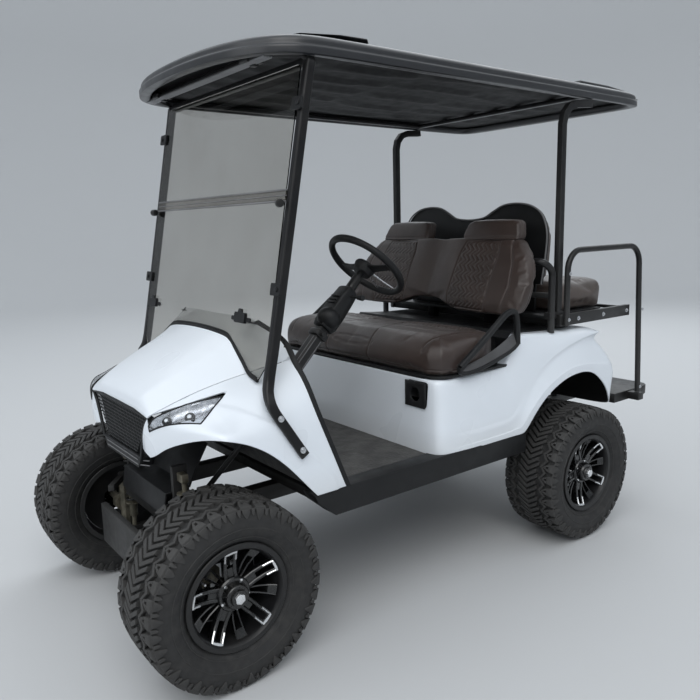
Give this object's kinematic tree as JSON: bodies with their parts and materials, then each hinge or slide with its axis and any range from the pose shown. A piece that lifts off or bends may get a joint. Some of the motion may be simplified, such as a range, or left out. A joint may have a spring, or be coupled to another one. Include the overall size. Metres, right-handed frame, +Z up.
{
  "type": "golf cart",
  "caption": "Lifted electric golf cart with a roof, a split windshield, a front bench, a rear-facing fold-over seat, a foot platform and knobbly tyres.",
  "frame": {"origin": "on the ground, midway along the cart and on its centre plane", "axes": "+X forward, +Y to the driver's side (left), +Z up"},
  "size_m": [2.6943, 1.364, 1.955],
  "materials": {
    "body_white": "gloss",
    "black_plastic": "satin",
    "roof_black": "satin",
    "black_metal": "satin",
    "frame_metal": "satin",
    "bare_steel": "brushed",
    "lamp_clear": "clear",
    "lamp_red": "gloss",
    "tinted_glass": "clear",
    "brown_leather": "satin",
    "taupe_leather": "satin",
    "tyre_rubber": "matte",
    "wheel_metal": "machined",
    "floor_mat": "matte",
    "battery_case": "matte",
    "grip": "matte"
  },
  "bodies": {
    "cart": {"frame": "frame_metal", "floor_pan": "floor_mat", "sill_rockers": "black_plastic", "front_suspension": "frame_metal", "spring_struts": "black_metal", "steering_gear": "frame_metal", "rear_axle": "frame_metal", "drive_motor": "frame_metal", "leaf_springs": "frame_metal", "battery_pack": "battery_case", "hood": "body_white", "front_fenders": "body_white", "headlights": "lamp_clear", "grille": "black_plastic", "lower_valance": "black_plastic", "front_bumper": "black_plastic", "dash_panel": "black_plastic", "rear_body": "body_white", "tail_lights": "lamp_red", "charge_socket": "black_plastic", "rear_deck": "black_metal", "seat_frame": "black_metal", "hip_restraints": "black_plastic", "seat_back": "brown_leather", "seat_back_brackets": "black_metal", "rear_seat_back_shell": "black_plastic", "rear_seat_back_pad": "taupe_leather", "rear_seat_frame": "black_metal", "grab_rails": "black_metal", "foot_platform": "black_metal", "steering_column": "black_metal", "pedals": "black_metal", "windshield_lower": "tinted_glass", "windshield_upper": "tinted_glass", "windshield_hinge": "bare_steel", "front_pillars": "black_metal", "windshield_clips": "bare_steel", "roof": "roof_black", "rear_struts": "black_metal", "roof_rails": "black_metal"},
    "wheel_front_left": {"tyre_front_left": "tyre_rubber", "rim_front_left": "wheel_metal"},
    "wheel_front_right": {"tyre_front_right": "tyre_rubber", "rim_front_right": "wheel_metal"},
    "wheel_rear_left": {"tyre_rear_left": "tyre_rubber", "rim_rear_left": "wheel_metal"},
    "wheel_rear_right": {"tyre_rear_right": "tyre_rubber", "rim_rear_right": "wheel_metal"},
    "knuckle_l": {"knuckle_left": "frame_metal"},
    "knuckle_r": {"knuckle_right": "frame_metal"},
    "rack": {"steering_rack": "bare_steel"},
    "hand_wheel": {"steering_wheel": "grip"},
    "front_seat": {"seat_lid": "black_plastic", "seat_cushion": "brown_leather"},
    "rear_seat": {"rear_cushion": "taupe_leather"}
  },
  "joints": [
    {"name": "steer_left", "type": "hinge", "parent": "cart", "child": "knuckle_l", "pos_m": [1.057, 0.35, 0.29], "axis": [0, 0, 1], "range_deg": [-25, 25]},
    {"name": "steer_right", "type": "hinge", "parent": "cart", "child": "knuckle_r", "pos_m": [1.057, -0.35, 0.29], "axis": [0, 0, 1], "range_deg": [-25, 25]},
    {"name": "rack_slide", "type": "slide", "parent": "cart", "child": "rack", "axis": [0, 1, 0], "range_m": [-0.047, 0.047]},
    {"name": "hand_wheel_turn", "type": "hinge", "parent": "cart", "child": "hand_wheel", "pos_m": [0.278, 0.254, 1.218], "axis": [-0.6947, 0, 0.7193], "range_deg": [-310, 310]},
    {"name": "spin_front_left", "type": "hinge", "parent": "knuckle_l", "child": "wheel_front_left", "pos_m": [1.057, 0.487, 0.29], "axis": [0, 1, 0], "continuous": true},
    {"name": "spin_front_right", "type": "hinge", "parent": "knuckle_r", "child": "wheel_front_right", "pos_m": [1.057, -0.487, 0.29], "axis": [0, 1, 0], "continuous": true},
    {"name": "spin_rear_left", "type": "hinge", "parent": "cart", "child": "wheel_rear_left", "pos_m": [-0.607, 0.557, 0.29], "axis": [0, 1, 0], "continuous": true},
    {"name": "spin_rear_right", "type": "hinge", "parent": "cart", "child": "wheel_rear_right", "pos_m": [-0.607, -0.557, 0.29], "axis": [0, 1, 0], "continuous": true},
    {"name": "front_seat_lift", "type": "hinge", "parent": "cart", "child": "front_seat", "pos_m": [-0.224, 0, 0.806], "axis": [0, -1, 0], "range_deg": [0, 40]},
    {"name": "rear_seat_flip", "type": "hinge", "parent": "cart", "child": "rear_seat", "pos_m": [-0.999, 0, 0.968], "axis": [0, -1, 0], "range_deg": [0, 180]}
  ],
  "couplings": [
    {"joint": "steer_right", "follows": "steer_left", "ratio": 1},
    {"joint": "hand_wheel_turn", "follows": "steer_left", "ratio": 12},
    {"joint": "rack_slide", "follows": "steer_left", "m_per_rad": -0.105}
  ]
}
